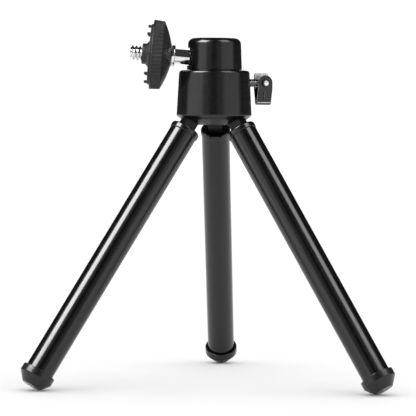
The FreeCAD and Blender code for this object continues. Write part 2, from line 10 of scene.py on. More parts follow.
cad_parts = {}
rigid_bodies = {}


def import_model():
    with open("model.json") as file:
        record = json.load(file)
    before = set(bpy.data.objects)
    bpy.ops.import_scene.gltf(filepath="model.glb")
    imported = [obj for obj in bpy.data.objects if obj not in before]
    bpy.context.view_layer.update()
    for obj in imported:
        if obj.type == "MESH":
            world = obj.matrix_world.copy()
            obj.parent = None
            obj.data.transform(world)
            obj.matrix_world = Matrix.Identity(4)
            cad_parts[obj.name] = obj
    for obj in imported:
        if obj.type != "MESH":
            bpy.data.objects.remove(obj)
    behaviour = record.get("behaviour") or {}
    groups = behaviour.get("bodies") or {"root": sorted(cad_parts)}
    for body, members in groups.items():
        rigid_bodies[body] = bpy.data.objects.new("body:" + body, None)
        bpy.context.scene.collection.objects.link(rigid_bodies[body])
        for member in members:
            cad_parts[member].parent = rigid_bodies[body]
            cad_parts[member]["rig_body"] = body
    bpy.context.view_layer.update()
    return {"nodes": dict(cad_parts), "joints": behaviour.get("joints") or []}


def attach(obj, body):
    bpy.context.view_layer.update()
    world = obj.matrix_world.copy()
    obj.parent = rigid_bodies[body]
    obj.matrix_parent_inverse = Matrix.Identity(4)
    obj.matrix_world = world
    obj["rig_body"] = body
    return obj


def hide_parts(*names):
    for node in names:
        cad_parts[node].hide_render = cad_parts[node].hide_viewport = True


bl_info = {
    "name": "Tabletop Tripod",
    "version": (1, 0, 0),
    "blender": (4, 5, 0),
    "location": "3D View > Sidebar > Tripod",
    "description": "Models the pieces of a pocket tabletop tripod, their finishes and a small studio",
    "category": "Add Mesh",
}

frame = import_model()
JOINTS = {joint["name"]: joint for joint in frame["joints"]}

# Every piece is modelled in millimetres in a frame of its own, and is put in its place as it is finished.
MM = 0.001
WELD = 1e-5  # corners closer than this are merged
NEAR = 2e-3  # a corner this close to a ring lies on it
SMALL_ROUND = 0.3  # roundings under this need fewer segments
FULL_TURN = 2.0 * math.pi
QUARTER_TURN = math.pi / 2.0
SHARP_ANGLE = math.radians(38.0)
CENTRE = (0.0, 0.0, 0.0)
STAY = (0.0, 0.0, 0.0)
UP = Vector((0.0, 0.0, 1.0))
LEGS = (1, 2, 3)
# Faces of the key painted bright: cut edges partly scuffed through the plate and partly a painted highlight,
# the fold's bead as a painted highlight, and the inside of the back leaf as a painted reflection.
WEAR_AND_HIGHLIGHT_LAYER = "edge_wear"
TUBE_END = -129.6


def colour_setting(name, description, red, green, blue):
    """A colour that the sidebar can edit."""
    return FloatVectorProperty(name=name, description=description, default=(red, green, blue),
                               subtype="COLOR", min=0.0, max=1.0, size=3)


def length_setting(name, description, metres):
    """A length that the sidebar can edit."""
    return FloatProperty(name=name, description=description, default=metres, unit="LENGTH")


def angle_setting(name, description, degrees):
    """An angle that the sidebar can edit."""
    return FloatProperty(name=name, description=description, default=math.radians(degrees),
                         unit="ROTATION", subtype="ANGLE")


def power_setting(name, description, watts):
    """The power of a light that the sidebar can edit."""
    return FloatProperty(name=name, description=description, default=watts, unit="POWER")


class TripodHeadSizes(PropertyGroup):
    ridge_count: IntProperty(
        name="Ridges", description="Fine ridges round the lock disc", default=54, min=12, max=120)
    ridge_depth: length_setting("Ridge depth", "Depth of the grooves between the ridges", 0.00045)
    nub_count: IntProperty(
        name="Nubs", description="Rubber nubs on the camera pad", default=8, min=3, max=16)
    stud_pitch: length_setting("Camera thread pitch", "Advance of the camera screw per turn", 0.0016)
    stud_depth: length_setting("Camera thread depth", "Depth of the camera screw's thread", 0.0008)
    clamp_pitch: length_setting("Clamp thread pitch", "Advance of the clamp screw per turn", 0.0009)
    clamp_depth: length_setting("Clamp thread depth", "Depth of the clamp screw's thread", 0.0005)
    shoulder_round: length_setting("Shoulder round", "Rounding of the housing's shoulder", 0.0013)
    crown_round: length_setting("Crown round", "Rounding of the turning cap's top edge", 0.0024)


class TripodLegSizes(PropertyGroup):
    collar_round: length_setting("Collar round", "Rounding of the collar at the top of a leg", 0.0008)
    rim_round: length_setting("Foot rim round", "Rounding of the rubber foot's rim", 0.00025)
    tip_round: length_setting("Foot tip round", "Rounding of the rubber foot's tip", 0.00025)


class TripodFinishes(PropertyGroup):
    moulding: colour_setting(
        "Moulding", "Satin black moulding of the housing and cap", 0.0035, 0.0035, 0.0037)
    hub_moulding: colour_setting(
        "Hub moulding", "Black moulding of the hub and the leg ends", 0.0035, 0.0035, 0.0037)
    lacquer: colour_setting("Lacquer", "Black lacquer of the leg tubes", 0.0025, 0.0025, 0.0027)
    ribbed: colour_setting("Ribbed plastic", "Matte black plastic of the lock disc", 0.012, 0.012, 0.0125)
    rubber: colour_setting("Pad rubber", "Soft rubber of the camera pad", 0.014, 0.014, 0.0145)
    foot_rubber: colour_setting("Foot rubber", "Firm rubber of the feet", 0.006, 0.006, 0.0063)
    nickel: colour_setting("Nickel", "Bright plate of the ball, stem and rivet", 0.78, 0.78, 0.79)
    zinc: colour_setting("Zinc", "Plated steel of the screws and pins", 0.20, 0.203, 0.21)
    key_steel: colour_setting("Key steel", "Dark plate of the folded key", 0.045, 0.045, 0.047)
    # Lighter steel of the key's marked faces: scuffed edges, and also painted highlights and a painted
    # reflection.
    bare_steel_and_highlight: colour_setting("Bare steel", "Where the key's plate is rubbed off", 0.72, 0.72, 0.73)
    brass: colour_setting("Brass", "Bush in the housing's wall", 0.62, 0.45, 0.19)
    nylon: colour_setting("Nylon", "Pressure cup under the ball", 0.70, 0.69, 0.65)


class TripodStage(PropertyGroup):
    floor: colour_setting("Floor", "Pale studio floor", 0.93, 0.93, 0.93)
    camera_distance: length_setting("Camera distance", "From the camera to the tripod", 1.0057)
    camera_pitch: angle_setting("Camera pitch", "How far the camera looks down", 2.1)
    camera_roll: angle_setting("Camera roll", "Turn of the camera about its own view", 0.43)
    camera_turn: angle_setting("Camera turn", "Turn of the camera round the tripod", 3.0)
    aim_height: length_setting("Aim height", "Height of the point that the camera looks at", 0.0746)
    aim_aside: length_setting("Aim aside", "How far beside the tripod's axis the camera looks", -0.00228)
    focal_length: FloatProperty(
        name="Focal length", description="Focal length in millimetres", default=203.6)
    backdrop: FloatProperty(
        name="Backdrop", description="Brightness of the white behind the tripod", default=1.05)
    room_fill: FloatProperty(
        name="Room fill", description="Even light from all round the room", default=1.18)
    room_sheen: FloatProperty(
        name="Room sheen", description="How bright the room looks in the tripod's gloss", default=0.04)
    key_power: power_setting("Key light", "Power of the high light on the left", 12.0)
    second_power: power_setting("Second light", "Power of the high light on the right", 3.0)
    left_panel_power: power_setting("Left panel", "Power of the standing panel on the left", 3.1)
    left_wing_power: power_setting("Left wing", "Power of the dim panel inside the left one", 0.32)
    right_panel_power: power_setting("Right panel", "Power of the standing panel on the right", 2.25)
    right_wing_power: power_setting("Right wing", "Power of the dim panel inside the right one", 0.24)


def colours():
    """The finish colours that the sidebar edits."""
    return bpy.context.scene.tripod_finishes


def joint_point(name):
    """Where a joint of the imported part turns, in metres."""
    return Vector(JOINTS[name]["pos_m"])


def joint_axis(name):
    """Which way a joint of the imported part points."""
    return Vector(JOINTS[name]["axis"]).normalized()


def place_at(point, across, along):
    """Matrix that takes millimetres in a piece's own frame to its place, from its Y and Z directions."""
    side = across.cross(along).normalized()
    along = side.cross(across).normalized()
    turn = Matrix((side, across, along)).transposed().to_4x4()
    return Matrix.Translation(point) @ turn @ Matrix.Scale(MM, 4)


def ground_point():
    """The point on the ground under the ball."""
    point = joint_point("head_swivel")
    return Vector((point.x, point.y, 0.0))


def upright_place(forward):
    """Place of a piece that stands on the tripod's axis with its X this way."""
    return place_at(ground_point(), UP.cross(forward).normalized(), UP)


def stem_place():
    """Place of the pieces on the tilted stem, counted from the ball's centre."""
    return place_at(joint_point("stud_roll"), -joint_axis("ball_tilt"), joint_axis("stud_roll"))


def clamp_place():
    """Place of the pieces on the clamp screw, counted from the tripod's axis."""
    return place_at(joint_point("clamp_turn"), -joint_axis("key_flip"), joint_axis("clamp_turn"))


def key_place():
    """Place of the key and its rivet, with Z up and the screw along X."""
    return place_at(joint_point("key_flip"), -joint_axis("key_flip"), UP)


def leg_place(number):
    """Place of the pieces of one leg, counted up the leg from its hinge."""
    joint = "leg_fold_%d" % number
    across = joint_axis(joint)
    outward = across.cross(UP)
    spread = math.radians(JOINTS[joint]["range_deg"][1])
    upward = UP * math.cos(spread) - outward * math.sin(spread)
    return place_at(joint_point(joint), across, upward)


def ring_edges(bm, radius, height):
    """Edges of the full ring at this radius and height."""
    def on_ring(vert):
        return abs(math.hypot(vert.co.x, vert.co.y) - radius) < NEAR and abs(vert.co.z - height) < NEAR
    return [edge for edge in bm.edges if on_ring(edge.verts[0]) and on_ring(edge.verts[1])]


def round_off(bm, edges, width, segments=3):
    """Round some edges over this width."""
    bmesh.ops.bevel(bm, geom=edges, offset=width, offset_type="OFFSET", segments=segments, profile=0.5,
                    affect="EDGES", clamp_overlap=True, material=-1)


def turned(corners, steps=96):
    """Turn an outline of (radius, height, rounding) about Z, and round its rings."""
    bm = bmesh.new()
    verts = [bm.verts.new((radius, 0.0, height)) for radius, height, _ in corners]
    edges = [bm.edges.new(pair) for pair in zip(verts, verts[1:])]
    if corners[0][0] > 0.0:
        edges.append(bm.edges.new((verts[-1], verts[0])))
    bmesh.ops.spin(bm, geom=verts + edges, cent=CENTRE, axis=UP, dvec=STAY, angle=FULL_TURN,
                   steps=steps, use_merge=True, use_duplicate=False)
    bmesh.ops.remove_doubles(bm, verts=bm.verts, dist=WELD)
    bmesh.ops.recalc_face_normals(bm, faces=bm.faces)
    for radius, height, rounding in corners:
        if rounding:
            segments = 2 if rounding < SMALL_ROUND else 5
            round_off(bm, ring_edges(bm, radius, height), rounding, segments)
    return bm


def merge_in(bm, other):
    """Add another shape to this one."""
    mesh = bpy.data.meshes.new("merge")
    other.to_mesh(mesh)
    other.free()
    bm.from_mesh(mesh)
    bpy.data.meshes.remove(mesh)


def holder(name, bm):
    """An object that holds a shape for a moment."""
    mesh = bpy.data.meshes.new(name)
    bm.to_mesh(mesh)
    bm.free()
    obj = bpy.data.objects.new(name, mesh)
    bpy.context.scene.collection.objects.link(obj)
    return obj


def cut_away(bm, cutter):
    """Cut one closed shape out of another and give back what is left."""
    blank = holder("blank", bm)
    tool = holder("cutter", cutter)
    hole = blank.modifiers.new("Hole", "BOOLEAN")
    hole.object = tool
    hole.operation = "DIFFERENCE"
    hole.solver = "EXACT"
    bpy.context.view_layer.update()
    depsgraph = bpy.context.evaluated_depsgraph_get()
    result = bmesh.new()
    result.from_mesh(blank.evaluated_get(depsgraph).data)
    for item in (blank, tool):
        mesh = item.data
        bpy.data.objects.remove(item)
        bpy.data.meshes.remove(mesh)
    return result


def peg(radius, start, end, turn=None, sides=48):
    """A plain closed cylinder between two heights, to cut with or to build on."""
    bm = bmesh.new()
    bmesh.ops.create_cone(bm, cap_ends=True, segments=sides, radius1=radius, radius2=radius,
                          depth=end - start)
    bmesh.ops.translate(bm, vec=(0.0, 0.0, (start + end) / 2.0), verts=bm.verts)
    if turn is not None:
        bmesh.ops.transform(bm, matrix=turn, verts=bm.verts)
    return bm


def slab(corners, width):
    """A flat outline in the XZ plane, thickened evenly to both sides."""
    bm = bmesh.new()
    bm.faces.new([bm.verts.new((across, -width / 2.0, height)) for across, height in corners])
    thicken(bm, (0.0, width, 0.0))
    return bm


def push(bm, grown, step):
    """Move the vertices of what was just extruded, and give them back."""
    moved = [item for item in grown if isinstance(item, bmesh.types.BMVert)]
    bmesh.ops.translate(bm, vec=step, verts=moved)
    return moved


def thicken(bm, step):
    """Push a copy of a lone face on by this step to close a solid."""
    push(bm, bmesh.ops.extrude_face_region(bm, geom=bm.faces[:], use_keep_orig=True)["geom"], step)
    bmesh.ops.recalc_face_normals(bm, faces=bm.faces)


def round_corners(bm, verts, width, segments):
    """Round some corners of a flat outline."""
    bmesh.ops.bevel(bm, geom=verts, offset=width, offset_type="OFFSET", segments=segments, profile=0.5,
                    affect="VERTICES", material=-1)


def repeat_round(bm, count):
    """Repeat everything evenly about Z."""
    geometry = bm.verts[:] + bm.edges[:] + bm.faces[:]
    bmesh.ops.spin(bm, geom=geometry, cent=CENTRE, axis=UP, dvec=STAY,
                   angle=FULL_TURN * (count - 1) / count, steps=count - 1, use_merge=False,
                   use_duplicate=True)


def cut_flat(bm, height, facing):
    """Cut everything off past a height, up or down."""
    bmesh.ops.bisect_plane(bm, geom=bm.verts[:] + bm.edges[:] + bm.faces[:],
                           plane_co=(0.0, 0.0, height), plane_no=(0.0, 0.0, facing), clear_outer=True)


def close_ends(bm):
    """Fill the open rims."""
    bmesh.ops.holes_fill(bm, edges=[edge for edge in bm.edges if edge.is_boundary], sides=0)


def threaded(major, depth, pitch, start, end, chamfer):
    """A threaded rod between two heights, with its free end chamfered."""
    steps = 40
    minor = major - depth
    crest = major - 0.04 * depth
    bm = bmesh.new()
    # The outline of one tooth: its radius at each share of the pitch.
    tooth = ((minor, 0.0), (minor, 0.22), (crest, 0.54), (crest, 0.68), (minor, 1.0))
    base = start - 1.5 * pitch
    verts = [bm.verts.new((radius, 0.0, base + share * pitch)) for radius, share in tooth]
    edges = [bm.edges.new(pair) for pair in zip(verts, verts[1:])]
    turns = math.ceil((end - start) / pitch) + 3
    bmesh.ops.spin(bm, geom=verts + edges, cent=CENTRE, axis=UP, dvec=(0.0, 0.0, pitch / steps),
                   angle=FULL_TURN * turns, steps=steps * turns, use_merge=False, use_duplicate=False)
    bmesh.ops.remove_doubles(bm, verts=bm.verts, dist=pitch * 0.02)
    cut_flat(bm, start, -1.0)
    cut_flat(bm, end, 1.0)
    close_ends(bm)
    for vert in bm.verts:
        limit = major - max(0.0, vert.co.z - (end - chamfer))
        reach = math.hypot(vert.co.x, vert.co.y)
        if reach > limit:
            vert.co.x *= limit / reach
            vert.co.y *= limit / reach
    bmesh.ops.recalc_face_normals(bm, faces=bm.faces)
    return bm


def finish_piece(name, bm, place, material, node):
    """Make the shape the finished piece that stands for a CAD node."""
    bmesh.ops.recalc_face_normals(bm, faces=bm.faces)
    bmesh.ops.transform(bm, matrix=place, verts=bm.verts)
    mesh = bpy.data.meshes.new(name)
    bm.to_mesh(mesh)
    bm.free()
    mesh.shade_smooth()
    mesh.set_sharp_from_angle(angle=SHARP_ANGLE)
    mesh.materials.append(material)
    piece = bpy.data.objects.new(name, mesh)
    bpy.context.scene.collection.objects.link(piece)
    weighted = piece.modifiers.new("Even shading", "WEIGHTED_NORMAL")
    weighted.keep_sharp = True
    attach(piece, frame["nodes"][node]["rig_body"])
    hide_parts(node)
    return piece


class FinishTree:
    """A material being wired up from the piece's own Object coordinates."""

    # Sockets of a colour mix, which share their names with its other kinds.
    MIX_FACTOR, MIX_DARK, MIX_LIGHT, MIX_RESULT = 0, 6, 7, 2

    def __init__(self, name, colour, metallic=0.0):
        self.material = bpy.data.materials.new(name)
        self.material.use_nodes = True
        self.tree = self.material.node_tree
        self.shader = self.tree.nodes["Principled BSDF"]
        self.shader.inputs["Metallic"].default_value = metallic
        self.colour = tuple(colour)
        self.place = self.tree.nodes.new("ShaderNodeTexCoord").outputs["Object"]

    def set(self, **values):
        """Set plain numbers on the shader's own sockets."""
        for name, value in values.items():
            self.shader.inputs[name.replace("_", " ")].default_value = value

    def turned_place(self, place, stretch):
        """Coordinates in millimetres in a piece's own frame, stretched along its axes."""
        mapping = self.tree.nodes.new("ShaderNodeMapping")
        mapping.vector_type = "TEXTURE"
        turn = place.to_euler()
        mapping.inputs["Location"].default_value = place.to_translation()
        mapping.inputs["Rotation"].default_value = turn
        mapping.inputs["Scale"].default_value = [MM * share for share in stretch]
        self.tree.links.new(self.place, mapping.inputs["Vector"])
        return mapping.outputs["Vector"]

    def noise(self, size, detail=2.0, roughness=0.5, place=None):
        """Noise whose grains are about this many millimetres across."""
        noise = self.tree.nodes.new("ShaderNodeTexNoise")
        noise.inputs["Scale"].default_value = 1.0 / (size if place is not None else size * MM)
        noise.inputs["Detail"].default_value = detail
        noise.inputs["Roughness"].default_value = roughness
        self.tree.links.new(self.place if place is None else place, noise.inputs["Vector"])
        return noise.outputs["Fac"]

    def spread(self, value, low, high, start=0.3, end=0.7):
        """Spread a noise over a range of values."""
        ranged = self.tree.nodes.new("ShaderNodeMapRange")
        for name, number in (("From Min", start), ("From Max", end), ("To Min", low), ("To Max", high)):
            ranged.inputs[name].default_value = number
        self.tree.links.new(value, ranged.inputs["Value"])
        return ranged.outputs["Result"]

    def patches(self, size, detail, roughness=0.5):
        """Soft patches of this size, from none to full."""
        return self.spread(self.noise(size, detail, roughness), 0.0, 1.0)

    def two_tones(self, value, dark, light, tint=None):
        """Colour that wanders between a darker and a lighter tone of the finish."""
        mix = self.tree.nodes.new("ShaderNodeMix")
        mix.data_type = "RGBA"
        tones = ((self.MIX_DARK, dark, self.colour), (self.MIX_LIGHT, light, tint or self.colour))
        for socket, share, colour in tones:
            mix.inputs[socket].default_value = [min(1.0, part * share) for part in colour] + [1.0]
        self.tree.links.new(value, mix.inputs[self.MIX_FACTOR])
        self.tree.links.new(mix.outputs[self.MIX_RESULT], self.shader.inputs["Base Color"])

    def roughen(self, value, low, high):
        """Let the roughness wander between two values."""
        self.tree.links.new(self.spread(value, low, high), self.shader.inputs["Roughness"])

    def bump(self, value, height, strength=1.0, over=None):
        """Raise the surface by this many millimetres of the value."""
        bump = self.tree.nodes.new("ShaderNodeBump")
        bump.inputs["Strength"].default_value = strength
        bump.inputs["Distance"].default_value = height * MM
        self.tree.links.new(value, bump.inputs["Height"])
        if over is not None:
            self.tree.links.new(over, bump.inputs["Normal"])
        self.tree.links.new(bump.outputs["Normal"], self.shader.inputs["Normal"])
        return bump.outputs["Normal"]


def known_finish(name):
    """A finish that was made before, if there is one."""
    return bpy.data.materials.get(name)


def satin_moulding(name, colour, low, high, ior=1.5):
    """Injection-moulded black plastic: fine mould grain over slow flow waves."""
    if known_finish(name):
        return known_finish(name)
    finish = FinishTree(name, colour)
    finish.set(IOR=ior)
    finish.two_tones(finish.patches(6.0, 3.0), 0.8, 1.25)
    finish.roughen(finish.noise(2.2, 4.0, 0.6), low, high)
    waves = finish.bump(finish.noise(9.0, 1.0), 0.02, 0.6)
    finish.bump(finish.noise(0.16, 3.0, 0.6), 0.0015, 0.6, waves)
    return finish.material


def black_lacquer():
    """Sprayed gloss lacquer with a slight orange peel."""
    if known_finish("gloss_lacquer"):
        return known_finish("gloss_lacquer")
    finish = FinishTree("gloss_lacquer", colours().lacquer)
    finish.set(IOR=1.5)
    finish.two_tones(finish.patches(14.0, 3.0), 0.8, 1.3)
    finish.roughen(finish.noise(5.0, 4.0, 0.6), 0.13, 0.22)
    peel = finish.bump(finish.noise(1.6, 2.0), 0.010, 0.6)
    finish.bump(finish.noise(0.25, 2.0), 0.0014, 0.5, peel)
    return finish.material


def ribbed_plastic():
    """Matte moulding of the lock disc, slightly dusty in random lighter patches."""
    if known_finish("ribbed_plastic"):
        return known_finish("ribbed_plastic")
    finish = FinishTree("ribbed_plastic", colours().ribbed)
    finish.set(IOR=1.48)
    finish.two_tones(finish.patches(1.4, 5.0, 0.65), 0.7, 1.45)
    finish.roughen(finish.noise(0.9, 3.0), 0.42, 0.62)
    finish.bump(finish.noise(0.14, 3.0, 0.6), 0.012, 0.8)
    return finish.material


def soft_rubber(name, colour, low, high, grain):
    """Moulded rubber with a dull bloom and a fine pebbled skin."""
    if known_finish(name):
        return known_finish(name)
    finish = FinishTree(name, colour)
    finish.set(IOR=1.45, Sheen_Weight=0.06, Sheen_Roughness=0.5)
    finish.two_tones(finish.patches(3.0, 4.0, 0.6), 0.8, 1.35)
    finish.roughen(finish.noise(1.2, 4.0, 0.6), low, high)
    finish.bump(finish.noise(grain, 2.0), 0.012, 0.7)
    return finish.material


def turned_metal(name, colour, place, low, high, groove):
    """Plated metal with fine lines that run round the piece's own axis."""
    if known_finish(name):
        return known_finish(name)
    finish = FinishTree(name, colour, metallic=1.0)
    lines = finish.turned_place(place, (12.0, 12.0, 1.0))
    finish.two_tones(finish.patches(1.5, 4.0, 0.6), 0.88, 1.05)
    finish.roughen(finish.noise(0.10, 4.0, 0.7, lines), low, high)
    finish.bump(finish.noise(0.12, 3.0, 0.6, lines), groove, 0.6)
    return finish.material


def key_plate():
    """Dark plated sheet, drawn along its length. Marked faces take a lighter, less metallic steel: the cut
    edges are partly scuffed through the plate and partly a painted highlight, and the inside of the back leaf
    is a painted reflection.
    """
    if known_finish("dark_key_plate"):
        return known_finish("dark_key_plate")
    finish = FinishTree("dark_key_plate", colours().key_steel, metallic=1.0)
    lines = finish.turned_place(key_place(), (1.0, 1.0, 14.0))
    wear_and_highlight_node = finish.tree.nodes.new("ShaderNodeAttribute")
    wear_and_highlight_node.attribute_name = WEAR_AND_HIGHLIGHT_LAYER
    patchy = finish.tree.nodes.new("ShaderNodeMath")
    patchy.operation = "MULTIPLY"
    finish.tree.links.new(wear_and_highlight_node.outputs["Fac"], patchy.inputs[0])
    finish.tree.links.new(finish.spread(finish.noise(0.8, 4.0, 0.6), 0.45, 1.0), patchy.inputs[1])
    # Marked faces turn lighter and less metallic so the diffuse fill shows on them as a painted highlight or
    # painted reflection, besides scuffed edges.
    wear_and_highlight = patchy.outputs["Value"]
    finish.two_tones(wear_and_highlight, 1.0, 1.0, tint=colours().bare_steel_and_highlight)
    finish.tree.links.new(finish.spread(wear_and_highlight, 1.0, 0.4, start=0.0, end=1.0),
                          finish.shader.inputs["Metallic"])
    finish.roughen(finish.noise(0.12, 4.0, 0.7, lines), 0.26, 0.46)
    finish.bump(finish.noise(0.12, 3.0, 0.6, lines), 0.004, 0.5)
    return finish.material


def nylon():
    """Natural nylon, slightly translucent and waxy."""
    if known_finish("natural_nylon"):
        return known_finish("natural_nylon")
    finish = FinishTree("natural_nylon", colours().nylon)
    finish.set(IOR=1.53, Subsurface_Weight=0.1)
    finish.shader.inputs["Subsurface Scale"].default_value = 0.001
    finish.two_tones(finish.patches(4.0, 3.0), 0.93, 1.03)
    finish.roughen(finish.noise(1.5, 3.0), 0.38, 0.52)
    finish.bump(finish.noise(0.3, 2.0), 0.006, 0.6)
    return finish.material


def housing_moulding():
    """Finish shared by the housing and the turning cap."""
    return satin_moulding("satin_moulding", colours().moulding, low=0.19, high=0.26)


def hub_moulding():
    """Duller finish shared by the hub and the hinge tongues."""
    return satin_moulding("hub_moulding", colours().hub_moulding, low=0.30, high=0.42, ior=1.33)


def collar_moulding():
    """Finish of the collars at the tops of the legs."""
    return satin_moulding("collar_moulding", colours().hub_moulding, low=0.16, high=0.24)


def bright_nickel():
    """Finish shared by the ball, the stem, the flange and the camera screw."""
    return turned_metal("bright_nickel", colours().nickel, stem_place(), low=0.07, high=0.15,
                        groove=0.0016)


def zinc_plate():
    """Finish shared by the clamp screw and the inner screw, pins and ring."""
    return turned_metal("zinc_plate", colours().zinc, clamp_place(), low=0.16, high=0.28, groove=0.003)


class TRIPOD_OT_housing(Operator):
    """Model the tapered housing of the ball head"""

    bl_idname = "tripod.housing"
    bl_label = "Housing"

    def execute(self, context):
        shoulder = context.scene.tripod_head.shoulder_round / MM
        bm = turned([
            (10.6, 133.3, 0.35), (10.6, 132.4, 0.0), (11.2, 132.4, 0.0), (11.2, 131.4, 0.0),
            (10.6, 131.4, 0.0), (10.6, 123.4, 0.0), (1.5, 123.4, 0.0), (1.5, 121.0, 0.0),
            (14.4, 121.0, 0.0), (14.4, 113.4, 0.0), (15.4, 113.4, 0.2), (16.0, 114.1, 0.35),
            (15.0, 133.3, shoulder),
        ], steps=128)
        bush_radius, bush_height = 3.0, 128.2
        sideways = Matrix.Translation((0.0, 0.0, bush_height)) @ Matrix.Rotation(QUARTER_TURN, 4, "Y")
        bm = cut_away(bm, peg(bush_radius, 8.0, 20.0, sideways))
        place = upright_place(joint_axis("clamp_turn"))
        finish_piece("housing_shell", bm, place, housing_moulding(), "housing")
        return {"FINISHED"}


class TRIPOD_OT_leg_hub(Operator):
    """Model the bowl-shaped hub that the legs hinge in"""

    bl_idname = "tripod.leg_hub"
    bl_label = "Leg hub"

    def execute(self, context):
        bm = turned([
            (1.5, 120.8, 0.0), (1.5, 112.2, 0.0), (2.6, 112.2, 0.0), (2.6, 110.1, 0.15), (8.5, 110.1, 0.6),
            (14.0, 112.5, 0.5), (15.1, 113.4, 0.0), (14.4, 113.4, 0.0), (14.4, 120.8, 0.4),
        ])
        slot_width, slot_ceiling = 6.4, 118.491
        slots = slab([(3.4, 109.1), (3.4, slot_ceiling), (11.6237, slot_ceiling), (11.6237, 116.734),
                      (16.696, 109.1)], slot_width)
        repeat_round(slots, len(LEGS))
        bm = cut_away(bm, slots)
        round_off(bm, [edge for edge in bm.edges if self.slot_lip(edge)], 0.22, 2)
        place = upright_place(joint_axis("leg_fold_1").cross(UP))
        finish_piece("hub_bowl", bm, place, hub_moulding(), "leg_hub")
        return {"FINISHED"}

    @staticmethod
    def slot_lip(edge):
        """Tell whether an edge is where a slot breaks out through the bowl's underside."""
        bowl_top, screw_reach = 113.3, 3.3
        if not edge.is_manifold or edge.calc_face_angle() < math.radians(50.0):
            return False
        walls = [face for face in edge.link_faces if abs(face.normal.z) < 0.05]
        low = all(vert.co.z < bowl_top for vert in edge.verts)
        wide = all(math.hypot(vert.co.x, vert.co.y) > screw_reach for vert in edge.verts)
        return low and wide and len(walls) == 1


class TRIPOD_OT_head_cap(Operator):
    """Model the turning cap with its ball hollow and side window"""

    bl_idname = "tripod.head_cap"
    bl_label = "Turning cap"

    # The window's half width, and the heights of its lower and upper edge.
    WINDOW = 4.5, 135.2, 142.95

    def execute(self, context):
        crown = context.scene.tripod_head.crown_round / MM
        bm = turned([
            (0.0, 147.0, 0.0), (11.2, 147.0, crown), (11.73, 133.6, 0.2), (10.5, 133.6, 0.0),
            (10.5, 132.3, 0.0), (9.7, 132.3, 0.0), (9.7, 131.5, 0.0), (10.5, 131.5, 0.0),
            (10.5, 130.9, 0.2), (8.05, 130.9, 0.2), (8.05, 137.9, 0.0), (7.3, 137.9, 0.0),
            (7.3, 145.2, 7.2), (0.0, 145.2, 0.0),
        ], steps=128)
        half, sill, lintel = self.WINDOW
        corners = ((-half, sill), (half, sill), (half, lintel), (-half, lintel))
        window = bmesh.new()
        window.faces.new([window.verts.new((4.0, across, height)) for across, height in corners])
        round_corners(window, window.verts[:], 1.4, 4)
        thicken(window, (10.0, 0.0, 0.0))
        bm = cut_away(bm, window)
        round_off(bm, [edge for edge in bm.edges if self.window_rim(edge)], 0.3, 2)
        place = upright_place(UP.cross(joint_axis("ball_tilt")))
        finish_piece("turning_cap", bm, place, housing_moulding(), "head_cap")
        return {"FINISHED"}

    def window_rim(self, edge):
        """Tell whether an edge is where the window breaks out through the cap's wall."""
        half, sill, lintel = self.WINDOW
        inside_wall, slack = 9.5, 0.1
        if not edge.is_manifold or edge.calc_face_angle() < math.radians(45.0):
            return False
        for vert in edge.verts:
            across, height = abs(vert.co.y), vert.co.z
            if vert.co.x < inside_wall or across > half + slack:
                return False
            if not sill - slack < height < lintel + slack:
                return False
        return True


class TRIPOD_OT_ball_and_stud(Operator):
    """Model the ball with its stem, and the flanged camera screw"""

    bl_idname = "tripod.ball_and_stud"
    bl_label = "Ball and camera screw"

    def execute(self, context):
        head = context.scene.tripod_head
        ball_radius, stem_radius = 7.2, 3.175
        flange_radius, flange_back, flange_front = 4.65, 16.95, 18.45
        bm = bmesh.new()
        bmesh.ops.create_uvsphere(bm, u_segments=72, v_segments=40, radius=ball_radius)
        neck = math.sqrt(ball_radius ** 2 - stem_radius ** 2)
        cut_flat(bm, neck, 1.0)
        rim = [edge for edge in bm.edges if edge.is_boundary]
        grown = bmesh.ops.extrude_edge_only(bm, edges=rim)["geom"]
        push(bm, grown, (0.0, 0.0, flange_back - neck))
        close_ends(bm)
        finish_piece("ball_and_stem", bm, stem_place(), bright_nickel(), "swivel_ball")

        bm = turned([(0.0, flange_back, 0.0), (flange_radius, flange_back, 0.35),
                     (flange_radius, flange_front, 0.35), (0.0, flange_front, 0.0)])
        merge_in(bm, threaded(stem_radius, head.stud_depth / MM, head.stud_pitch / MM,
                              start=18.2, end=36.0, chamfer=0.7))
        finish_piece("camera_screw", bm, stem_place(), bright_nickel(), "camera_stud")
        return {"FINISHED"}


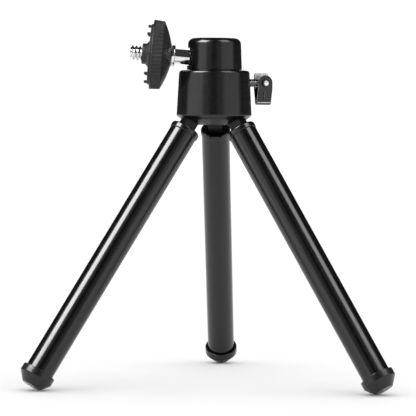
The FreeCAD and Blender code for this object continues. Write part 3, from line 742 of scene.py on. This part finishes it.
class TRIPOD_OT_lock_disc(Operator):
    """Model the ridged lock disc, its hub and its rubber pad"""

    bl_idname = "tripod.lock_disc"
    bl_label = "Lock disc"

    def execute(self, context):
        head = context.scene.tripod_head
        ribbed = ribbed_plastic()
        bore, seat, rim, lip = 3.235, 26.1, 14.8, 26.9
        bm = turned([
            (bore, 18.6, 0.0), (4.4, 18.6, 0.2), (7.0, 19.3, 0.0), (9.6, 20.15, 0.0), (11.8, 21.05, 0.0),
            (13.3, 21.75, 0.0), (14.45, 22.3, 0.0), (14.53, 23.0, 0.0), (14.74, 26.0, 0.0),
            (14.76, 26.25, 0.0), (rim, lip, 0.0), (14.4, lip, 0.0), (13.0, lip, 0.0),
            (13.0, seat, 0.0), (bore, seat, 0.0),
        ], steps=head.ridge_count * 6)
        self.cut_ridges(bm, head.ridge_count, head.ridge_depth / MM)
        round_off(bm, ring_edges(bm, rim, lip), 0.25, 3)
        finish_piece("ridged_disc", bm, stem_place(), ribbed, "lock_disc")

        bm = turned([(bore, seat, 0.0), (6.2, seat, 0.0), (6.0, 27.95, 0.0), (4.7, 29.0, 0.3),
                     (4.4, 29.3, 0.0), (4.4, 31.0, 0.5), (bore, 31.0, 0.25)])
        finish_piece("disc_boss", bm, stem_place(), ribbed, "disc_hub")

        pad_bore, pad_rim, pad_face = 6.25, 12.95, 27.9
        nub_radius, nub_circle = 0.65, 11.8
        bm = turned([(pad_bore, seat, 0.0), (pad_rim, seat, 0.0), (pad_rim, pad_face, 0.45),
                     (pad_bore, pad_face, 0.35)])
        nubs = turned([(0.0, 27.5, 0.0), (nub_radius, 27.5, 0.0), (nub_radius, 29.3, 0.45), (0.0, 29.3, 0.0)],
                      steps=24)
        bmesh.ops.translate(nubs, vec=(nub_circle, 0.0, 0.0), verts=nubs.verts)
        repeat_round(nubs, head.nub_count)
        merge_in(bm, nubs)
        rubber = soft_rubber("pad_rubber", colours().rubber, low=0.55, high=0.78, grain=0.35)
        finish_piece("grip_pad", bm, stem_place(), rubber, "disc_pad")
        return {"FINISHED"}

    @staticmethod
    def cut_ridges(bm, count, depth):
        """Press the grooves between the ridges into the rim, from behind its front lip to its back edge."""
        inner, back, front = 14.0, 22.2, 26.1
        for vert in bm.verts:
            reach = math.hypot(vert.co.x, vert.co.y)
            if reach < inner or not back < vert.co.z < front:
                continue
            wave = 0.5 - 0.5 * math.cos(count * math.atan2(vert.co.y, vert.co.x))
            share = (reach - depth * wave ** 0.7) / reach
            vert.co.x *= share
            vert.co.y *= share


class TRIPOD_OT_clamp(Operator):
    """Model the clamp screw, its bush in the wall, the rivet and the folded key"""

    bl_idname = "tripod.clamp"
    bl_label = "Clamp screw and key"

    # The bead that runs along the key's fold, whose front is painted bright as a highlight, and the middle of
    # the bend.
    BEAD_RADIUS, BEAD_DEPTH, BEAD_HEIGHT = 0.2, -1.2, -8.35
    BEND_HEIGHT = -8.2

    def execute(self, context):
        head = context.scene.tripod_head
        bm = turned([(1.8, 11.0, 0.0), (3.0, 11.0, 0.0), (3.0, 15.6, 0.25), (1.8, 15.6, 0.2)], steps=64)
        brass = turned_metal("turned_brass", colours().brass, clamp_place(), low=0.18, high=0.32,
                             groove=0.003)
        finish_piece("wall_bush", bm, clamp_place(), brass, "clamp_insert")

        shank, rivet_reach, rivet_radius = 1.75, 23.7, 0.95
        bm = threaded(shank, head.clamp_depth / MM, head.clamp_pitch / MM, start=8.4, end=20.9, chamfer=0.0)
        merge_in(bm, turned([(0.0, 7.0, 0.0), (0.4, 7.0, 0.0), (1.3, 8.4, 0.0), (1.3, 9.0, 0.0),
                             (0.0, 9.0, 0.0)], steps=40))
        neck = turned([(0.0, 20.6, 0.0), (1.5, 20.6, 0.2), (shank, 21.3, 0.1), (shank, 25.5, 0.3),
                       (0.0, 25.5, 0.0)], steps=48)
        across = Matrix.Translation((0.0, 0.0, rivet_reach)) @ Matrix.Rotation(QUARTER_TURN, 4, "X")
        merge_in(bm, cut_away(neck, peg(rivet_radius, -4.0, 4.0, across, 32)))
        finish_piece("clamp_spindle", bm, clamp_place(), zinc_plate(), "clamp_screw")

        self.make_rivet()
        self.make_key()
        return {"FINISHED"}

    @staticmethod
    def make_rivet():
        """A solid rivet with a bright dome and a dark flange on each side of the key."""
        dome = 1.15
        half = [(0.0, 3.15, 0.0), (0.6, 3.12, 0.0), (1.08, 2.98, 0.0), (dome, 2.85, 0.0), (1.7, 2.8, 0.0),
                (1.7, 2.7, 0.0), (0.95, 2.7, 0.0)]
        bm = turned([(radius, -height, 0.0) for radius, height, _ in half] + half[::-1], steps=48)
        for face in bm.faces:
            middle = face.calc_center_median()
            face.material_index = 1 if math.hypot(middle.x, middle.y) > dome else 0
        bmesh.ops.rotate(bm, cent=CENTRE, matrix=Matrix.Rotation(QUARTER_TURN, 3, "X"), verts=bm.verts)
        nickel = turned_metal("rivet_nickel", colours().nickel, key_place(), low=0.10, high=0.20,
                              groove=0.002)
        piece = finish_piece("domed_rivet", bm, key_place(), nickel, "key_rivet")
        piece.data.materials.append(key_plate())

    def make_key(self):
        """Sheet folded into a narrow V, with a round leaf in front and a square one behind."""
        half, leaf, fold, sheet, rivet_hole = 3.4, 2.25, 1.1, 0.8, 1.0
        bm = bmesh.new()
        outline = ((-half, 3.4), (half, 3.4), (half, -2.4), (-half, -2.4))
        verts = [bm.verts.new((across, -leaf, height)) for across, height in outline]
        bm.faces.new(verts)
        edge = bm.edges.get((verts[2], verts[3]))
        for step in ((0.0, leaf - fold, -5.4), (0.0, 0.0, -0.4)):
            edge = self.fold_on(bm, edge, step)
        edge = self.bend_round(bm, edge)
        for step in ((0.0, 0.0, 0.4), (0.0, leaf - fold, 5.4), (0.0, 0.0, 6.8)):
            edge = self.fold_on(bm, edge, step)
        round_corners(bm, verts[:2], 3.3, 10)
        round_corners(bm, list(edge.verts), 1.0, 5)
        bmesh.ops.recalc_face_normals(bm, faces=bm.faces)
        bmesh.ops.solidify(bm, geom=bm.faces[:], thickness=sheet)
        self.centre_sheet(bm)
        bmesh.ops.recalc_face_normals(bm, faces=bm.faces)
        through = Matrix.Rotation(QUARTER_TURN, 4, "X")
        bm = cut_away(bm, peg(rivet_hole, -6.0, 6.0, through, 32))
        sheet_edges = [e for e in bm.edges if e.is_manifold and e.calc_face_angle() > math.radians(60.0)]
        round_off(bm, sheet_edges, 0.12, 2)
        merge_in(bm, self.pressed_rib())
        bead = peg(self.BEAD_RADIUS, -half, half, Matrix.Rotation(QUARTER_TURN, 4, "Y"), 16)
        bmesh.ops.translate(bead, vec=(0.0, self.BEAD_DEPTH, self.BEAD_HEIGHT), verts=bead.verts)
        merge_in(bm, bead)
        self.mark_wear_and_highlights(bm)
        finish_piece("folded_key", bm, key_place(), key_plate(), "clamp_key")

    @staticmethod
    def fold_on(bm, edge, step):
        """Carry the sheet's end edge on by one straight run."""
        return bm.edges.get(push(bm, bmesh.ops.extrude_edge_only(bm, edges=[edge])["geom"], step))

    def bend_round(self, bm, edge):
        """Bend the sheet's end edge half round at the bottom of the fold."""
        grown = bmesh.ops.spin(bm, geom=[edge] + list(edge.verts), cent=(0.0, 0.0, self.BEND_HEIGHT),
                               axis=(1.0, 0.0, 0.0), dvec=STAY, angle=math.pi, steps=10,
                               use_merge=False, use_duplicate=False)["geom_last"]
        moved = [item for item in grown if isinstance(item, bmesh.types.BMVert)]
        return bm.edges.get(moved)

    @staticmethod
    def centre_sheet(bm):
        """Shift the solid sheet so that the fold is even to both sides."""
        reach = [vert.co.y for vert in bm.verts]
        bmesh.ops.translate(bm, vec=(0.0, -(min(reach) + max(reach)) / 2.0, 0.0), verts=bm.verts)

    @staticmethod
    def pressed_rib():
        """A plain stiffening rib pressed out of the front leaf."""
        bm = bmesh.new()
        bmesh.ops.create_uvsphere(bm, u_segments=24, v_segments=12, radius=1.0)
        bmesh.ops.scale(bm, vec=(0.7, 0.28, 2.0), verts=bm.verts)
        lean = Matrix.Rotation(math.radians(12.0), 3, "X")
        bmesh.ops.rotate(bm, cent=CENTRE, matrix=lean, verts=bm.verts)
        bmesh.ops.translate(bm, vec=(0.0, -1.97, -5.3), verts=bm.verts)
        return bm

    def mark_wear_and_highlights(self, bm):
        """Note which faces are painted bright: the front leaf's cut edges, partly scuffed through the plate
        and partly a painted highlight; the front of the bead, a painted highlight of the fold; and inside the
        back leaf, a painted reflection.
        """
        wear_and_highlight_layer = bm.faces.layers.float.new(WEAR_AND_HIGHLIGHT_LAYER)
        for face in bm.faces:
            middle = face.calc_center_median()
            # Cut edges: partly scuffed through the plate, partly a painted highlight.
            cut = abs(face.normal.x) > 0.5 or (abs(face.normal.y) < 0.4 and middle.z > -7.0)
            # Painted reflection: the inside of the back leaf is painted bright as if it mirrored the white
            # room.
            inside = face.normal.y < -0.8 and middle.y > 0.4 and middle.z > -2.0
            # Painted highlight: the front of the bead along the fold.
            near_bead = abs(middle.z - self.BEAD_HEIGHT) < self.BEAD_RADIUS + 0.01
            bead = near_bead and middle.y < self.BEAD_DEPTH and face.normal.y < -0.3
            face[wear_and_highlight_layer] = 1.0 if inside or bead or (cut and middle.y < 0.0) else 0.0


class TRIPOD_OT_legs(Operator):
    """Model the tongue, collar and tube of each leg"""

    bl_idname = "tripod.legs"
    bl_label = "Legs"

    def execute(self, context):
        collar = context.scene.tripod_legs.collar_round / MM
        tube_top = -10.3
        for number in LEGS:
            place = leg_place(number)
            bm = turned([(0.0, -7.7, 0.0), (6.35, -7.7, collar), (6.35, tube_top, 0.4),
                         (4.95, tube_top, 0.0), (4.95, -24.3, 0.3), (0.0, -24.3, 0.0)])
            merge_in(bm, self.tongue())
            piece = finish_piece("leg_end_%d" % number, bm, place, collar_moulding(), "leg_plug_%d" % number)
            piece.data.materials.append(hub_moulding())
            bm = turned([(5.0, tube_top, 0.0), (6.0, tube_top, 0.15), (6.0, TUBE_END, 0.0),
                         (5.0, TUBE_END, 0.0)], steps=128)
            finish_piece("leg_barrel_%d" % number, bm, place, black_lacquer(), "leg_tube_%d" % number)
        return {"FINISHED"}

    @staticmethod
    def tongue():
        """Flat hinge tongue with two rounded top corners and a pin hole."""
        bm = bmesh.new()
        half = 3.0
        outline = ((3.0, -8.7), (3.0, 3.0), (-1.5, 3.0), (-2.7, -1.3), (-2.7, -8.7))
        verts = [bm.verts.new((across, -half, height)) for across, height in outline]
        bm.faces.new(verts)
        round_corners(bm, verts[1:2], 2.9, 8)
        round_corners(bm, verts[2:3], 1.14, 8)
        thicken(bm, (0.0, 2.0 * half, 0.0))
        rims = [edge for edge in bm.edges if edge.calc_face_angle() > math.radians(80.0)
                and abs(edge.verts[0].co.y - edge.verts[1].co.y) < NEAR]
        round_off(bm, rims, 0.25, 2)
        pin_hole = peg(1.3, -5.0, 5.0, Matrix.Rotation(QUARTER_TURN, 4, "X"), 32)
        bm = cut_away(bm, pin_hole)
        for face in bm.faces:
            face.material_index = 1
        return bm


class TRIPOD_OT_feet(Operator):
    """Model the rubber feet"""

    bl_idname = "tripod.feet"
    bl_label = "Feet"

    def execute(self, context):
        sizes = context.scene.tripod_legs
        rim, tip = sizes.rim_round / MM, sizes.tip_round / MM
        rubber = soft_rubber("firm_foot_rubber", colours().foot_rubber, low=0.20, high=0.34, grain=0.22)
        for number in LEGS:
            bm = turned([(0.0, -115.6, 0.0), (4.95, -115.6, 0.3), (4.95, TUBE_END, 0.0), (6.5, TUBE_END, 0.0),
                         (6.5, -128.6, 0.0), (7.2, -128.6, rim), (7.2, -131.6, rim), (4.0, -135.4, tip),
                         (0.0, -135.4, 0.0)])
            finish_piece("leg_foot_%d" % number, bm, leg_place(number), rubber, "foot_%d" % number)
        return {"FINISHED"}


class TRIPOD_OT_inner_parts(Operator):
    """Give the inner screw, pins, ring and cup their finishes"""

    bl_idname = "tripod.inner_parts"
    bl_label = "Inner parts"

    def execute(self, context):
        finishes = (("hub_screw", zinc_plate()), ("hinge_pins", zinc_plate()), ("swivel_ring", zinc_plate()),
                    ("ball_seat", nylon()))
        for node, material in finishes:
            mesh = frame["nodes"][node].data
            mesh.materials.clear()
            mesh.materials.append(material)
        return {"FINISHED"}


class TRIPOD_OT_stage(Operator):
    """Set up the floor, the soft lights and the camera"""

    bl_idname = "tripod.stage"
    bl_label = "Studio"

    # Each light's name, degrees to the left and up, distance, width and height in metres, and power setting.
    LIGHTS = (
        ("key_light", 57.0, 45.0, 0.80, 0.48, 0.42, "key_power"),
        ("second_light", -60.0, 50.0, 0.80, 0.42, 0.42, "second_power"),
        ("left_panel", 61.0, 12.0, 0.85, 0.88, 0.9, "left_panel_power"),
        ("left_wing", 23.0, 12.0, 0.86, 0.34, 0.9, "left_wing_power"),
        ("right_panel", -61.5, 12.0, 0.85, 0.90, 0.9, "right_panel_power"),
        ("right_wing", -24.0, 12.0, 0.86, 0.34, 0.9, "right_wing_power"),
    )
    AIM_HEIGHT = 0.1

    def execute(self, context):
        stage = context.scene.tripod_stage
        self.lay_floor(stage)
        self.light_room(context.scene, stage)
        for name, side, rise, distance, width, height, power in self.LIGHTS:
            self.hang_light(name, side, rise, distance, width, height, getattr(stage, power))
        self.set_camera(context.scene, stage)
        return {"FINISHED"}

    @staticmethod
    def lay_floor(stage):
        """A wide pale floor just under the feet."""
        bm = bmesh.new()
        bmesh.ops.create_grid(bm, x_segments=1, y_segments=1, size=4.0)
        floor = holder("studio_floor", bm)
        finish = FinishTree("floor_paper", stage.floor)
        finish.set(IOR=1.3)
        finish.two_tones(finish.patches(60.0, 3.0), 0.99, 1.01)
        finish.roughen(finish.noise(30.0, 2.0), 0.75, 0.85)
        floor.data.materials.append(finish.material)

    @staticmethod
    def light_room(scene, stage):
        """White behind the tripod, an even fill on the floor, and a dim room in the reflections."""
        world = bpy.data.worlds.new("studio")
        scene.world = world
        world.use_nodes = True
        tree = world.node_tree
        tree.nodes.clear()
        output = tree.nodes.new("ShaderNodeOutputWorld")
        rays = tree.nodes.new("ShaderNodeLightPath")
        last = None
        for strength, share in ((stage.room_fill, None), (stage.room_sheen, "Is Glossy Ray"),
                                (stage.backdrop, "Is Camera Ray")):
            tone = tree.nodes.new("ShaderNodeBackground")
            tone.inputs["Color"].default_value = (1.0, 1.0, 1.0, 1.0)
            tone.inputs["Strength"].default_value = strength
            shader = tone.outputs["Background"]
            if last is not None:
                mix = tree.nodes.new("ShaderNodeMixShader")
                tree.links.new(rays.outputs[share], mix.inputs["Fac"])
                tree.links.new(last, mix.inputs[1])
                tree.links.new(shader, mix.inputs[2])
                shader = mix.outputs["Shader"]
            last = shader
        tree.links.new(last, output.inputs["Surface"])
        scene.view_settings.view_transform = "Standard"

    def hang_light(self, name, side, rise, distance, width, height, power):
        """Hang a soft panel that faces the tripod and shows only in its gloss."""
        light = bpy.data.lights.new(name, "AREA")
        light.shape = "RECTANGLE"
        light.size = width
        light.size_y = height
        light.energy = power
        side, rise = math.radians(side), math.radians(rise)
        away = Vector((-math.sin(side) * math.cos(rise), -math.cos(side) * math.cos(rise),
                       math.sin(rise)))
        aim = ground_point() + UP * self.AIM_HEIGHT
        lamp = bpy.data.objects.new(name, light)
        lamp.location = aim + away * distance
        lamp.rotation_euler = away.to_track_quat("Z", "Y").to_euler()
        lamp.visible_camera = False
        lamp.visible_diffuse = False
        bpy.context.scene.collection.objects.link(lamp)

    @staticmethod
    def set_camera(scene, stage):
        """A long lens at about the hub's height, looking slightly down."""
        data = bpy.data.cameras.new("studio_camera")
        data.sensor_width = 36.0
        data.lens = stage.focal_length
        data.clip_end = 50.0
        camera = bpy.data.objects.new("studio_camera", data)
        turn = Matrix.Rotation(stage.camera_turn, 4, "Z")
        aim = ground_point() + turn @ Vector((stage.aim_aside, 0.0, stage.aim_height))
        back = turn @ Vector((0.0, -math.cos(stage.camera_pitch), math.sin(stage.camera_pitch)))
        view = back.to_track_quat("Z", "Y").to_matrix().to_4x4()
        roll = Matrix.Rotation(stage.camera_roll, 4, "Z")
        camera.matrix_world = Matrix.Translation(aim + back * stage.camera_distance) @ view @ roll
        scene.collection.objects.link(camera)
        scene.camera = camera


PARTS = (TRIPOD_OT_housing, TRIPOD_OT_leg_hub, TRIPOD_OT_head_cap, TRIPOD_OT_ball_and_stud,
         TRIPOD_OT_lock_disc, TRIPOD_OT_clamp, TRIPOD_OT_legs, TRIPOD_OT_feet, TRIPOD_OT_inner_parts,
         TRIPOD_OT_stage)
GROUPS = (("tripod_head", TripodHeadSizes), ("tripod_legs", TripodLegSizes),
          ("tripod_finishes", TripodFinishes), ("tripod_stage", TripodStage))


class TRIPOD_PT_panel(Panel):
    """Lists the tripod's pieces and their settings"""

    bl_idname = "TRIPOD_PT_panel"
    bl_label = "Tabletop tripod"
    bl_space_type = "VIEW_3D"
    bl_region_type = "UI"
    bl_category = "Tripod"

    def draw(self, context):
        for part in PARTS:
            self.layout.operator(part.bl_idname)
        for group_name, kind in GROUPS:
            box = self.layout.box()
            for setting in kind.__annotations__:
                box.prop(getattr(context.scene, group_name), setting)


def register():
    """Add the settings, the operators and the panel."""
    for name, group in GROUPS:
        bpy.utils.register_class(group)
        setattr(bpy.types.Scene, name, PointerProperty(type=group))
    for part in PARTS + (TRIPOD_PT_panel,):
        bpy.utils.register_class(part)


def unregister():
    """Take them all away again."""
    for part in reversed(PARTS + (TRIPOD_PT_panel,)):
        bpy.utils.unregister_class(part)
    for name, group in reversed(GROUPS):
        delattr(bpy.types.Scene, name)
        bpy.utils.unregister_class(group)


def main():
    """Build every piece and the studio."""
    register()
    for part in PARTS:
        area, name = part.bl_idname.split(".")
        getattr(getattr(bpy.ops, area), name)()


if __name__ == "__main__":
    main()
